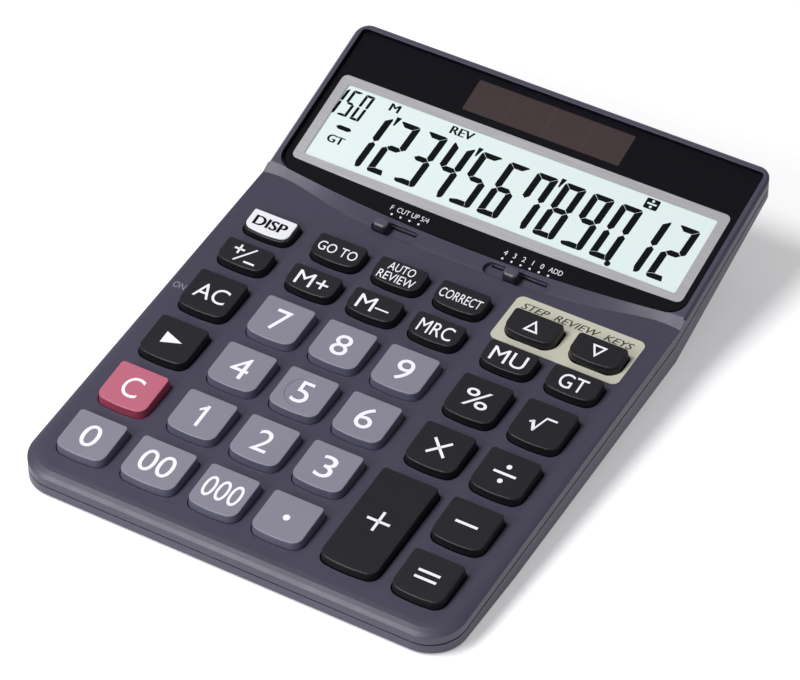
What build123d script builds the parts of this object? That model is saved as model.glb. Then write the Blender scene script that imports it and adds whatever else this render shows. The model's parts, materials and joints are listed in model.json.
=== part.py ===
from build123d import *
from math import atan, cos, degrees, radians, sin, tan
import os

os.makedirs("parts", exist_ok=True)

# case, millimetres; the origin is under the middle of the case, +Y is its back
case_width = 140.0
case_depth = 191.0
front_corner = 11.0
back_corner = 4.5
wall = 2.2
half_width = case_width / 2
back_edge = case_depth / 2
front_edge = -case_depth / 2

# the key deck and the raised display both lean back
deck_lean = 3.9
deck_height = 14.2
deck_wall = 2.0
display_lean = 16.7
display_height = 24.2
display_wall = 3.2
display_middle = 60.0

# rim of the upper case, where the bevel round the deck ends
rim_front = 6.6
bevel_width = 4.2
bevel_end = 34.4

# parting line between the two case halves
parting_drop = 3.9
display_parting_drop = 4.0
parting_gap = 0.5
lip_height = 1.5

# underside of the lower case
base_height = 0.8
floor_wall = 1.6
underside_turn = 36.0
underside_lean = 0.78

# keys
key_width = 15.8
wide_key = 17.6
short_key = 8.8
tall_key = 15.1
plus_key = 36.2
key_back_height = 3.3
key_front_height = 2.4
key_flare = 0.35
key_clearance = 0.3
key_flange = 0.6
key_wall = 1.1
key_bow = 0.9
key_travel = 1.2
flange_top = -2.15
flange_thick = 0.75
columns = [-54.4, -31.4, -10.8, 9.8, 33.6, 54.4]
rows = [21.6, 7.4, -7.5, -28.6, -49.7, -71.0]

# layers under the deck, measured square to the deck
mat_top = -4.4
mat_thick = 0.5
board_top = -4.92
board_thick = 0.8

deck_slope = tan(radians(deck_lean))
display_slope = tan(radians(display_lean))
rim_slope = (deck_height + bevel_end * deck_slope - rim_front) / (bevel_end - front_edge)


def leaning(x, y, z, lean):
    # a plane through a point, leaning back by an angle
    up = (0, -sin(radians(lean)), cos(radians(lean)))
    return Plane(origin=(x, y, z), x_dir=(1, 0, 0), z_dir=up)


deck = leaning(0, 0, deck_height, deck_lean)
display = leaning(0, display_middle, display_height, display_lean)


def deck_z(y):
    return deck_height + y * deck_slope


def display_z(y):
    return display_height + (y - display_middle) * display_slope


def rim_z(y):
    return rim_front + (y - front_edge) * rim_slope


def on_deck(y):
    return y / cos(radians(deck_lean))


def on_display(y):
    return (y - display_middle) / cos(radians(display_lean))


def parting_line(shift):
    # the parting line seen from the side, moved up or down
    drop = deck_height - parting_drop
    rise = display_z(0) - display_parting_drop
    kink = (drop - rise) / (display_slope - deck_slope)
    front = (front_edge - 5, drop + (front_edge - 5) * deck_slope + shift)
    middle = (kink, drop + kink * deck_slope + shift)
    back = (back_edge + 5, rise + (back_edge + 5) * display_slope + shift)
    return [front, middle, back]


def case_outline(inset):
    # plan of the case, drawn smaller by the inset
    with BuildSketch() as plan:
        with BuildLine():
            Polyline(
                (-half_width + inset, front_edge + inset),
                (half_width - inset, front_edge + inset),
                (half_width - inset, back_edge - inset),
                (-half_width + inset, back_edge - inset),
                close=True,
            )
        make_face()
        fillet(plan.vertices().sort_by(Axis.Y)[:2], front_corner - inset)
        fillet(plan.vertices().sort_by(Axis.Y)[-2:], back_corner - inset)
    return plan.sketch


def side_slab(points):
    # a slab right across the case from its side view
    with BuildPart() as slab:
        with BuildSketch(Plane.YZ):
            with BuildLine():
                Polyline(*points, close=True)
            make_face()
        extrude(amount=half_width + 10, both=True)
    return slab.part


def key_outline(width, length, grow):
    # straight back edge, bowed front edge, key origin in the middle of the back edge
    side = width / 2 + grow
    front = -length - grow
    with BuildSketch() as plan:
        with BuildLine():
            Line((-side, grow), (side, grow))
            Line((side, grow), (side, front + key_bow))
            ThreePointArc((side, front + key_bow), (0, front), (-side, front + key_bow))
            Line((-side, front + key_bow), (-side, grow))
        make_face()
        fillet(plan.vertices().sort_by(Axis.Y)[-2:], 1.1 + max(grow, -0.9))
        fillet(plan.vertices().sort_by(Axis.Y)[:2], 3.0 + grow)
    return plan.sketch


def key_plane(x, y, height, lean):
    spot = deck.from_local_coords((x, on_deck(y), height))
    return leaning(spot.X, spot.Y, spot.Z, deck_lean + lean)


# name, column place, back edge, width, length
keys = [
    ("key_display", columns[0], rows[0], key_width, short_key),
    ("key_go_to", columns[1], rows[0], key_width, short_key),
    ("key_review", columns[2], rows[0], key_width, short_key),
    ("key_correct", columns[3], rows[0], key_width, short_key),
    ("key_step_up", columns[4], rows[0], key_width, short_key),
    ("key_step_down", columns[5], rows[0], key_width, short_key),
    ("key_sign", columns[0], rows[1], key_width, short_key),
    ("key_memory_plus", columns[1], rows[1], key_width, short_key),
    ("key_memory_minus", columns[2], rows[1], key_width, short_key),
    ("key_memory_recall", columns[3], rows[1], key_width, short_key),
    ("key_mark_up", columns[4], rows[1], key_width, short_key),
    ("key_grand_total", columns[5], rows[1], key_width, short_key),
    ("key_all_clear", columns[0], rows[2], key_width, tall_key),
    ("key_7", columns[1], rows[2], key_width, tall_key),
    ("key_8", columns[2], rows[2], key_width, tall_key),
    ("key_9", columns[3], rows[2], key_width, tall_key),
    ("key_percent", columns[4], rows[2], key_width, tall_key),
    ("key_root", columns[5], rows[2], key_width, tall_key),
    ("key_shift", columns[0], rows[3], key_width, tall_key),
    ("key_4", columns[1], rows[3], key_width, tall_key),
    ("key_5", columns[2], rows[3], key_width, tall_key),
    ("key_6", columns[3], rows[3], key_width, tall_key),
    ("key_times", columns[4], rows[3], key_width, tall_key),
    ("key_divide", columns[5], rows[3], key_width, tall_key),
    ("key_clear", columns[0], rows[4], key_width, tall_key),
    ("key_1", columns[1], rows[4], key_width, tall_key),
    ("key_2", columns[2], rows[4], key_width, tall_key),
    ("key_3", columns[3], rows[4], key_width, tall_key),
    ("key_plus", columns[4] - 0.9, rows[4], wide_key, plus_key),
    ("key_minus", columns[5], rows[4], key_width, tall_key),
    ("key_0", columns[0], rows[5], key_width, tall_key),
    ("key_00", columns[1] - 0.9, rows[5], wide_key, tall_key),
    ("key_000", columns[2], rows[5], key_width, tall_key),
    ("key_point", columns[3], rows[5], key_width, tall_key),
    ("key_equals", columns[5], rows[5], key_width, tall_key),
]

# each key: cap with a skirt through the deck, a flange that keeps it in, and a stem
inlay_thick = 0.7
for name, x, y, width, length in keys:
    sink = inlay_thick if name == "key_display" else 0.0
    back_height = key_back_height - sink
    lean = degrees(atan((key_back_height - key_front_height) / length))
    top = key_plane(x, y, back_height, lean)
    with BuildPart() as key:
        with BuildSketch(key_plane(x, y, flange_top - flange_thick, 0)):
            add(key_outline(width, length, key_flare + key_clearance + key_flange))
        extrude(amount=flange_thick)
        with BuildSketch(key_plane(x, y, flange_top, 0)):
            add(key_outline(width, length, key_flare))
        extrude(amount=-flange_top)
        with BuildSketch(key_plane(x, y, 0, 0)):
            add(key_outline(width, length, key_flare))
        with BuildSketch(top):
            add(key_outline(width, length, 0))
        loft(ruled=True)
        crown = key.faces().sort_by(Axis((x, y, 0), (0, 0, 1)))[-1]
        fillet(crown.edges(), 0.3)
        with BuildSketch(key_plane(x, y, flange_top - flange_thick, 0)):
            add(key_outline(width, length, key_flare - key_wall))
        extrude(amount=0.9 - flange_top + flange_thick, mode=Mode.SUBTRACT)
        with BuildSketch(key_plane(x, y, flange_top - flange_thick, 0)):
            with Locations((0, -length / 2)):
                Circle(2.3)
                Rectangle(width - key_wall, 0.9)
                Rectangle(0.9, length - key_wall)
        extrude(amount=1.2 - flange_top + flange_thick)
        if name == "key_5":
            # a shallow dish that the finger finds
            with BuildSketch(top.offset(0.3)):
                with Locations((0, -length / 2)):
                    Circle(5.6)
            extrude(amount=-0.42, taper=40, mode=Mode.SUBTRACT)
    key.part.label = name
    export_step(key.part, "parts/" + name + ".step")

name, x, y, width, length = keys[0]
lean = degrees(atan((key_back_height - key_front_height) / length))
with BuildPart() as display_key_inlay:
    with BuildSketch(key_plane(x, y - 0.1, key_back_height - inlay_thick + 0.01, lean)):
        add(key_outline(width, length, -0.6))
    extrude(amount=inlay_thick)
    crown = display_key_inlay.faces().sort_by(Axis.Z)[-1]
    fillet(crown.edges(), 0.2)
display_key_inlay.part.label = "display_key_inlay"
export_step(display_key_inlay.part, "parts/display_key_inlay.step")

# upper case: deck, raised display part and the walls down to the parting line
crease = [(0, 31.0), (16, 31.4), (33, 32.8), (47, 35.3), (57, 37.6), (62.5, 38.4), (66.5, 38.4), (70, 38.0)]
ledge = [(0, 37.2), (16, 37.5), (33, 38.3), (47, 39.4), (57, 40.5), (62.5, 41.2), (66.5, 41.5), (70, 41.6)]


def front_curve(points, place):
    # a bowed line right across the case, straight on to the back of the step
    half = [(x, place(y)) for x, y in points]
    mirrored = [(-x, y) for x, y in reversed(half[1:])]
    behind = place(48.4)
    with BuildSketch() as plan:
        with BuildLine():
            bow = Spline(*(mirrored + half))
            Polyline(bow @ 1, (half_width, behind), (-half_width, behind), bow @ 0)
        make_face()
    return plan.sketch


with BuildPart() as step:
    with BuildSketch(deck):
        add(front_curve(crease, on_deck))
    with BuildSketch(display):
        add(front_curve(ledge, on_display))
    loft(ruled=True)

# bevel round the deck: four outlines, each higher and further in
bevel_back = bevel_end - 0.3
with BuildPart() as bevel:
    for part_in in [0.0, 0.3, 0.65, 1.0]:
        share = 1 - (1 - part_in) ** 2
        front_height = rim_front + (deck_z(front_edge) - rim_front) * share
        slope = rim_slope + (deck_slope - rim_slope) * share
        inset = bevel_width * part_in - 0.02
        spread = inset * (bevel_back - bevel_end) / (bevel_end - front_edge)
        squash = cos(atan(slope))
        section = leaning(0, 0, front_height - front_edge * slope, degrees(atan(slope)))
        with BuildSketch(section) as plan:
            with BuildLine():
                Polyline(
                    (-half_width + inset, (front_edge + inset) / squash),
                    (half_width - inset, (front_edge + inset) / squash),
                    (half_width + spread, bevel_back / squash),
                    (-half_width - spread, bevel_back / squash),
                    close=True,
                )
            make_face()
            fillet(plan.vertices().sort_by(Axis.Y)[:2], front_corner - 0.7 * inset)
    loft(ruled=True)

bevel_zone = side_slab(
    [
        (front_edge - 5, rim_z(front_edge - 5)),
        (bevel_back - 0.2, rim_z(bevel_back - 0.2)),
        (bevel_back - 0.2, deck_z(bevel_back - 0.2) + 0.02),
        (front_edge - 5, deck_z(front_edge - 5) + 2.0),
    ]
)
with BuildPart() as bevel_cut:
    add(bevel_zone)
    add(bevel.part, mode=Mode.SUBTRACT)

# narrow chamfer round the top of the display part
edge_chamfer = 0.8
with BuildPart() as display_edge_cut:
    with BuildSketch(display.offset(-edge_chamfer)):
        with Locations((0, (on_display(41.0) + on_display(back_edge + 2)) / 2)):
            Rectangle(case_width + 4, on_display(back_edge + 2) - on_display(41.0))
    extrude(amount=edge_chamfer + 0.5)
    with BuildSketch(display.offset(-edge_chamfer)):
        with Locations((0, (on_display(20.0) + on_display(back_edge)) / 2)):
            RectangleRounded(case_width, on_display(back_edge) - on_display(20.0), back_corner)
    extrude(amount=edge_chamfer + 0.5, taper=45, mode=Mode.SUBTRACT)

upper_side = parting_line(parting_gap / 2) + [
    (back_edge + 5, display_z(back_edge + 5)),
    (48.0, display_z(48.0)),
    (48.0, deck_z(48.0)),
    (front_edge - 5, deck_z(front_edge - 5)),
]
inner_kink = (deck_height - deck_wall - display_z(0) + display_wall + 0.14) / (display_slope - deck_slope)
inner_side = [
    (front_edge - 5, -5),
    (back_edge + 5, -5),
    (back_edge + 5, display_z(back_edge + 5) - display_wall - 0.14),
    (inner_kink, deck_z(inner_kink) - deck_wall),
    (front_edge - 5, deck_z(front_edge - 5) - deck_wall),
]
with BuildPart() as hollow:
    with BuildSketch():
        add(case_outline(wall))
    extrude(amount=45)
    add(side_slab(inner_side), mode=Mode.INTERSECT)

rebate_side = parting_line(-1.0) + list(reversed(parting_line(lip_height + 0.5)))
with BuildPart() as rebate:
    with BuildSketch():
        add(case_outline(1.0))
        add(case_outline(wall + 0.1), mode=Mode.SUBTRACT)
    extrude(amount=45)
    add(side_slab(rebate_side), mode=Mode.INTERSECT)

# window recess, display well and solar cell well
window_side = 67.9
window_back = 93.4
window_bow = (41.85, 37.5)
window_corner = 5.5
window_depth = 1.5


def window_outline(grow):
    side = window_side + grow
    back = on_display(window_back) + grow
    ends = on_display(window_bow[0]) - grow
    middle = on_display(window_bow[1]) - grow
    with BuildSketch() as plan:
        with BuildLine():
            Line((-side, back), (side, back))
            Line((side, back), (side, ends))
            ThreePointArc((side, ends), (0, middle), (-side, ends))
            Line((-side, ends), (-side, back))
        make_face()
        fillet(plan.vertices().sort_by(Axis.Y)[-2:], 1.6)
        fillet(plan.vertices().sort_by(Axis.Y)[:2], window_corner)
    return plan.sketch


glass_width = 128.6
glass_front = 46.6
glass_back = 76.2
cell_width = 58.0
cell_front = 79.0
cell_back = 92.0


def display_box(width, front, back, top, bottom, grow=0.0):
    # a flat block under the display, square to it
    length = on_display(back) - on_display(front) + 2 * grow
    middle = (on_display(back) + on_display(front)) / 2
    with BuildPart(display.offset(top)) as block:
        with Locations((0, middle, 0)):
            Box(width + 2 * grow, length, top - bottom, align=(Align.CENTER, Align.CENTER, Align.MAX))
    return block.part


# selector switches: slots in the strip below the window
selector_y = 34.1
selector_pitch = 3.03
left_start = -26.7
left_steps = 3
right_start = 10.9
right_steps = 5
right_rest = 2
slot_width = 5.0
slot_depth = 1.3
slot_end = 3.2
slit_shift = 1.9
slit_width = 0.9
strip_front = 31.5
strip_back = 37.5
strip_rise = display_z(strip_back) - deck_z(strip_front)
strip_slope = strip_rise / (strip_back - strip_front)
strip_height = deck_z(strip_front) + (selector_y - strip_front) * strip_slope
strip = leaning(0, selector_y, strip_height, degrees(atan(strip_slope)))

# screw bosses: x, y, height of the joint between boss and post
bosses = [
    (-42.9, -26.1, 5.2),
    (21.7, -26.1, 5.2),
    (-60.5, 27.0, 7.5),
    (60.5, 27.0, 7.5),
    (-42.0, 80.3, 15.0),
    (42.0, 80.3, 15.0),
]

with BuildPart() as upper_case:
    with BuildSketch():
        add(case_outline(0))
    extrude(amount=45)
    add(side_slab(upper_side), mode=Mode.INTERSECT)
    add(step.part)
    add(display_edge_cut.part, mode=Mode.SUBTRACT)
    add(bevel_cut.part, mode=Mode.SUBTRACT)
    add(hollow.part, mode=Mode.SUBTRACT)
    add(rebate.part, mode=Mode.SUBTRACT)
    # bosses hang from the inside
    for x, y, joint in bosses:
        with BuildSketch(Plane.XY.offset(joint)):
            with Locations((x, y)):
                Circle(1.95)
        extrude(amount=(deck_z(y) if y < 40 else display_z(y) - 1.4) - deck_wall - joint + 0.3)
    # key holes
    for name, x, y, width, length in keys:
        with BuildSketch(key_plane(x, y, 1.0, 0)):
            add(key_outline(width, length, key_flare + key_clearance))
        extrude(amount=-4.0, mode=Mode.SUBTRACT)
    # window recess, then the wells through its floor
    with BuildSketch(display.offset(5)):
        add(window_outline(0.08))
    extrude(amount=-5 - window_depth, mode=Mode.SUBTRACT)
    add(display_box(glass_width, glass_front, glass_back, 0, -6, 0.2), mode=Mode.SUBTRACT)
    add(display_box(cell_width, cell_front, cell_back, 0, -6, 0.2), mode=Mode.SUBTRACT)
    # selector slots
    for start, steps in [(left_start, left_steps), (right_start, right_steps)]:
        travel = steps * selector_pitch
        middle = start + travel / 2
        with BuildSketch(strip.offset(3)):
            with Locations((middle, 0)):
                SlotOverall(travel + 2 * slot_end, slot_width)
        extrude(amount=-3 - slot_depth, mode=Mode.SUBTRACT)
        with BuildSketch(strip):
            with Locations((middle, slit_shift)):
                Rectangle(travel + 3.0, slit_width)
        extrude(amount=-5, mode=Mode.SUBTRACT)
    # blind screw holes
    for x, y, joint in bosses:
        with BuildSketch(Plane.XY.offset(joint)):
            with Locations((x, y)):
                Circle(1.0)
        extrude(amount=5.0, mode=Mode.SUBTRACT)
upper_case.part.label = "upper_case"
export_step(upper_case.part, "parts/upper_case.step")

# lower case: a tray whose sides and back lean in underneath
floor_top = base_height + floor_wall
underside_points = [(-58.0, 0.8), (36.0, 6.1), (95.5, 28.4)]


def lower_hull(inset, bottom, rise):
    with BuildPart() as hull:
        with BuildSketch(Plane.XY.offset(bottom)):
            add(case_outline(inset))
        extrude(amount=45)
        below = [(back_edge + 5, -5), (front_edge - 5, -5)]
        add(side_slab(parting_line(rise) + below), mode=Mode.INTERSECT)
        for (y1, z1), (y2, z2) in zip(underside_points, underside_points[1:]):
            for side in [-1, 1]:
                along = Vector(0, y2 - y1, z2 - z1)
                inward = along.cross(Vector(-side * underside_lean, 0, -1)) * side
                spot = Vector(side * half_width, y1, z1) + inward.normalized() * inset
                split(bisect_by=Plane(origin=spot, z_dir=inward), keep=Keep.TOP)
        back_lean = radians(25)
        inward = Vector(0, -cos(back_lean), sin(back_lean))
        spot = Vector(0, back_edge, 25.5) + inward * inset
        split(bisect_by=Plane(origin=spot, z_dir=inward), keep=Keep.TOP)
    return hull.part


# button cell under a cover in the floor
cell_y = 52.0
button_radius = 5.8
cover_front = 35.0
cover_length = 28.0
cover_width = 24.0
cover_middle = cover_front + cover_length / 2
cover_screw_y = 38.5
pad_top = 3.4

lip_side = parting_line(-1.6) + list(reversed(parting_line(lip_height)))
with BuildPart() as lip:
    with BuildSketch():
        add(case_outline(1.15))
        add(case_outline(2.1), mode=Mode.SUBTRACT)
    extrude(amount=45)
    add(side_slab(lip_side), mode=Mode.INTERSECT)

feet = [(-57.0, -80.0), (57.0, -80.0), (-42.0, 66.0), (42.0, 66.0)]
foot_radius = 5.0
foot_height = 1.4
foot_sink = 0.65

with BuildPart() as lower_case:
    add(lower_hull(0, base_height, -parting_gap / 2))
    add(lower_hull(2.0, floor_top, 10), mode=Mode.SUBTRACT)
    add(lip.part)
    # screw posts and the pad round the cell opening
    for x, y, joint in bosses:
        with BuildSketch(Plane.XY.offset(floor_top - 0.6)):
            with Locations((x, y)):
                Circle(3.1)
        extrude(amount=joint - 0.05 - floor_top + 0.6)
    with BuildSketch(Plane.XY.offset(floor_top - 0.6)):
        with Locations((0, cover_middle)):
            RectangleRounded(cover_width + 6, cover_length + 6, 2)
    extrude(amount=pad_top - floor_top + 0.6)
    with BuildSketch(Plane.XY.offset(pad_top - 0.3)):
        with Locations((0, cell_y)):
            Circle(button_radius + 1.6)
            Circle(button_radius + 0.4, mode=Mode.SUBTRACT)
            Rectangle(5.0, 40.0, mode=Mode.SUBTRACT)
    extrude(amount=4.0)
    # screw holes with room for the heads
    for x, y, joint in bosses:
        with BuildSketch(Plane.XY.offset(base_height - 0.5)):
            with Locations((x, y)):
                Circle(1.2)
        extrude(amount=joint + 1, mode=Mode.SUBTRACT)
        with BuildSketch(Plane.XY.offset(base_height - 0.5)):
            with Locations((x, y)):
                Circle(2.4)
        extrude(amount=0.6 * joint - base_height + 0.5, mode=Mode.SUBTRACT)
    # recesses for the feet
    for x, y in feet:
        with BuildSketch(Plane.XY.offset(base_height - 0.5)):
            with Locations((x, y)):
                Circle(foot_radius + 0.1)
        extrude(amount=0.5 + foot_sink, mode=Mode.SUBTRACT)
    # opening and seat for the cell cover
    with BuildSketch(Plane.XY.offset(base_height - 0.5)):
        with Locations((0, cover_middle)):
            RectangleRounded(cover_width + 0.3, cover_length + 0.3, 1.6)
    extrude(amount=1.75, mode=Mode.SUBTRACT)
    with BuildSketch(Plane.XY.offset(base_height)):
        with Locations((0, cell_y)):
            Rectangle(14.0, 16.0)
        with Locations((0, cover_screw_y)):
            Circle(0.85)
    extrude(amount=pad_top, mode=Mode.SUBTRACT)
lower_case.part.label = "lower_case"
export_step(lower_case.part, "parts/lower_case.step")

with BuildPart() as rubber_feet:
    for x, y in feet:
        with BuildSketch():
            with Locations((x, y)):
                Circle(foot_radius)
        extrude(amount=foot_height)
    chamfer(rubber_feet.edges().group_by(Axis.Z)[0], 0.3)
rubber_feet.part.label = "rubber_feet"
export_step(rubber_feet.part, "parts/rubber_feet.step")

with BuildPart() as case_screws:
    for x, y, joint in bosses:
        seat = 0.6 * joint
        with BuildSketch(Plane.XY.offset(seat - 1.3)):
            with Locations((x, y)):
                Circle(2.0)
        extrude(amount=1.28)
        with BuildSketch(Plane.XY.offset(seat - 0.1)):
            with Locations((x, y)):
                Circle(0.9)
        extrude(amount=joint + 4.4 - seat)
        with BuildSketch(Plane.XY.offset(seat - 1.3)):
            with Locations((x, y)):
                Rectangle(2.2, 0.6)
                Rectangle(0.6, 2.2)
        extrude(amount=0.7, mode=Mode.SUBTRACT)
case_screws.part.label = "case_screws"
export_step(case_screws.part, "parts/case_screws.step")

with BuildPart() as cell_cover:
    with BuildSketch(Plane.XY.offset(base_height + 0.02)):
        with Locations((0, cover_middle)):
            RectangleRounded(cover_width, cover_length, 1.5)
    extrude(amount=1.18)
    with BuildSketch(Plane.XY.offset(base_height + 1.1)):
        with Locations((0, cell_y)):
            Rectangle(13.4, 15.4)
    extrude(amount=1.2)
    with BuildSketch(Plane.XY.offset(base_height)):
        with Locations((0, cover_screw_y)):
            Circle(1.2)
    extrude(amount=3, mode=Mode.SUBTRACT)
    with BuildSketch(Plane.XY.offset(base_height)):
        with Locations((0, cover_screw_y)):
            Circle(2.1)
        with GridLocations(0, 1.6, 1, 4):
            with Locations((0, 59.5)):
                Rectangle(10, 0.6)
    extrude(amount=0.65, mode=Mode.SUBTRACT)
cell_cover.part.label = "cell_cover"
export_step(cell_cover.part, "parts/cell_cover.step")

with BuildPart() as cell_cover_screw:
    with BuildSketch(Plane.XY.offset(base_height + 0.02)):
        with Locations((0, cover_screw_y)):
            Circle(1.9)
            Rectangle(2.0, 0.5, mode=Mode.SUBTRACT)
            Rectangle(0.5, 2.0, mode=Mode.SUBTRACT)
    extrude(amount=0.35)
    with BuildSketch(Plane.XY.offset(base_height + 0.3)):
        with Locations((0, cover_screw_y)):
            Circle(1.9)
    extrude(amount=0.33)
    with BuildSketch(Plane.XY.offset(base_height + 0.5)):
        with Locations((0, cover_screw_y)):
            Circle(0.8)
    extrude(amount=3.6)
cell_cover_screw.part.label = "cell_cover_screw"
export_step(cell_cover_screw.part, "parts/cell_cover_screw.step")

cell_bottom = 3.6
cell_height = 5.4
with BuildPart() as button_cell:
    with BuildSketch(Plane.XY.offset(cell_bottom)):
        with Locations((0, cell_y)):
            Circle(button_radius - 0.7)
    extrude(amount=cell_height)
    with BuildSketch(Plane.XY.offset(cell_bottom + 1.0)):
        with Locations((0, cell_y)):
            Circle(button_radius)
    extrude(amount=cell_height - 1.0)
    fillet(button_cell.edges().group_by(Axis.Z)[-1], 0.4)
button_cell.part.label = "button_cell"
export_step(button_cell.part, "parts/button_cell.step")

with BuildPart() as cell_contacts:
    with BuildSketch(Plane.XY.offset(cell_bottom + cell_height + 0.02)):
        with Locations((0, cell_y + 2)):
            Rectangle(3.6, 16)
    extrude(amount=0.3)
    with BuildSketch(Plane.XY.offset(cell_bottom - 0.32)):
        with Locations((0, cell_y - 1.5)):
            Rectangle(3.0, 9)
    extrude(amount=0.3)
cell_contacts.part.label = "cell_contacts"
export_step(cell_contacts.part, "parts/cell_contacts.step")

# rubber mat, its domes and the board under the keys
mat_width = 129.0
mat_back = 21.5
mat_front = -88.0
board_width = 131.0
board_front = -86.5
board_step = 22.5
board_back = 41.0
under_selectors = 100.0
dome_height = 1.43


def deck_plate(width, front, back, corner):
    with BuildSketch() as plan:
        with Locations((0, (on_deck(front) + on_deck(back)) / 2)):
            RectangleRounded(width, on_deck(back) - on_deck(front), corner)
    return plan.sketch


with BuildPart() as key_mat:
    with BuildSketch(deck.offset(mat_top)):
        add(deck_plate(mat_width, mat_front, mat_back, 5))
        for x, y, joint in bosses[:2]:
            with Locations((x, on_deck(y))):
                Circle(2.7, mode=Mode.SUBTRACT)
        for name, x, y, width, length in keys:
            with Locations((x, on_deck(y) - length / 2)):
                Circle(2.4, mode=Mode.SUBTRACT)
    extrude(amount=-mat_thick)
key_mat.part.label = "key_mat"
export_step(key_mat.part, "parts/key_mat.step")

with BuildPart() as key_domes:
    for name, x, y, width, length in keys:
        spot = deck.from_local_coords((x, on_deck(y) - length / 2, mat_top + 0.01))
        with Locations(leaning(spot.X, spot.Y, spot.Z, deck_lean)):
            Cone(3.5, 2.3, dome_height, align=(Align.CENTER, Align.CENTER, Align.MIN))
            Cone(2.8, 1.8, 0.9, align=(Align.CENTER, Align.CENTER, Align.MIN), mode=Mode.SUBTRACT)
key_domes.part.label = "key_domes"
export_step(key_domes.part, "parts/key_domes.step")

with BuildPart() as key_board:
    with BuildSketch(deck.offset(board_top)):
        add(deck_plate(board_width, board_front, board_step, 5))
        add(deck_plate(under_selectors, board_step - 8, board_back, 2))
        for x, y, joint in bosses[:2]:
            with Locations((x, on_deck(y))):
                Circle(2.7, mode=Mode.SUBTRACT)
    extrude(amount=-board_thick)
key_board.part.label = "key_board"
export_step(key_board.part, "parts/key_board.step")

# display stack, all square to the display
with BuildPart() as display_window:
    with BuildSketch(display.offset(-1.35)):
        add(window_outline(0))
    extrude(amount=1.2)
display_window.part.label = "display_window"
export_step(display_window.part, "parts/display_window.step")

frame_width = 132.2
frame_front = 44.3
frame_back = 78.0
view_width = 124.8
view_front = 48.3
view_back = 74.7
with BuildPart() as lcd_frame:
    with BuildSketch(display.offset(-1.49)):
        with Locations((0, (on_display(frame_back) + on_display(frame_front)) / 2)):
            RectangleRounded(frame_width, on_display(frame_back) - on_display(frame_front), 2.2)
        with Locations((0, (on_display(view_back) + on_display(view_front)) / 2)):
            view_length = on_display(view_back) - on_display(view_front)
            RectangleRounded(view_width, view_length, 0.8, mode=Mode.SUBTRACT)
    extrude(amount=0.12)
lcd_frame.part.label = "lcd_frame"
export_step(lcd_frame.part, "parts/lcd_frame.step")

with BuildPart() as lcd_glass:
    add(display_box(glass_width, glass_front, glass_back, -1.9, -3.9))
lcd_glass.part.label = "lcd_glass"
export_step(lcd_glass.part, "parts/lcd_glass.step")

with BuildPart() as lcd_connectors:
    add(display_box(118, 47.6, 49.4, -3.92, -6.38))
    add(display_box(118, 70.6, 72.4, -3.92, -6.38))
lcd_connectors.part.label = "lcd_connectors"
export_step(lcd_connectors.part, "parts/lcd_connectors.step")

with BuildPart() as solar_cell:
    add(display_box(cell_width - 0.4, cell_front + 0.1, cell_back - 0.1, -1.6, -2.7))
solar_cell.part.label = "solar_cell"
export_step(solar_cell.part, "parts/solar_cell.step")

with BuildPart() as display_board:
    add(display_box(124, 45.0, 74.5, -6.4, -7.6))
display_board.part.label = "display_board"
export_step(display_board.part, "parts/display_board.step")

with BuildPart() as board_components:
    under_board = display.offset(-7.62)
    with BuildSketch(under_board):
        with Locations((8, on_display(58))):
            Circle(6.5)
    extrude(amount=-1.4, taper=35)
    with BuildSketch(under_board):
        with Locations((-24, on_display(60))):
            Circle(2.5)
    extrude(amount=-5.5)
    for x in [22, 27, 32]:
        with BuildSketch(under_board):
            with Locations((x, on_display(52))):
                Rectangle(1.6, 3.2)
        extrude(amount=-0.7)
board_components.part.label = "board_components"
export_step(board_components.part, "parts/board_components.step")

# flat cable from the key board up to the display board
cable_width = 12.0
cable_thick = 0.28
cable_line = [(37.0, 12.17), (41.6, 12.5), (44.5, 12.05), (48.2, 12.4), (51.0, 13.26)]
with BuildPart() as ribbon_cable:
    with BuildSketch(Plane.YZ):
        with BuildLine():
            upper = Polyline(*cable_line)
            lower = Polyline(*[(y, z - cable_thick) for y, z in cable_line])
            Line(upper @ 0, lower @ 0)
            Line(upper @ 1, lower @ 1)
        make_face()
    extrude(amount=cable_width / 2, both=True)
ribbon_cable.part.label = "ribbon_cable"
export_step(ribbon_cable.part, "parts/ribbon_cable.step")

wire_radius = 0.4
wire_runs = [
    [(-6, 85, 28.0), (-6, 81.5, 24.0), (-6, 77.5, 19.6), (-6, 73.5, 19.6)],
    [(6, 85, 28.0), (6, 81.5, 24.0), (6, 77.5, 19.6), (6, 73.5, 19.6)],
    [(-1, 59.2, 9.8), (-3, 60.5, 12.5), (-4, 63, 15.0), (-4, 66, 17.2)],
    [(0, 45.2, 4.2), (5, 43.0, 7.4), (16, 46.0, 10.4), (19, 60, 15.0)],
]
with BuildPart() as wires:
    for run in wire_runs:
        with BuildLine() as path:
            Spline(*run)
        with BuildSketch(Plane(origin=path.line @ 0, z_dir=path.line % 0)):
            Circle(wire_radius)
        sweep(path=path.line)
wires.part.label = "wires"
export_step(wires.part, "parts/wires.step")

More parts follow.
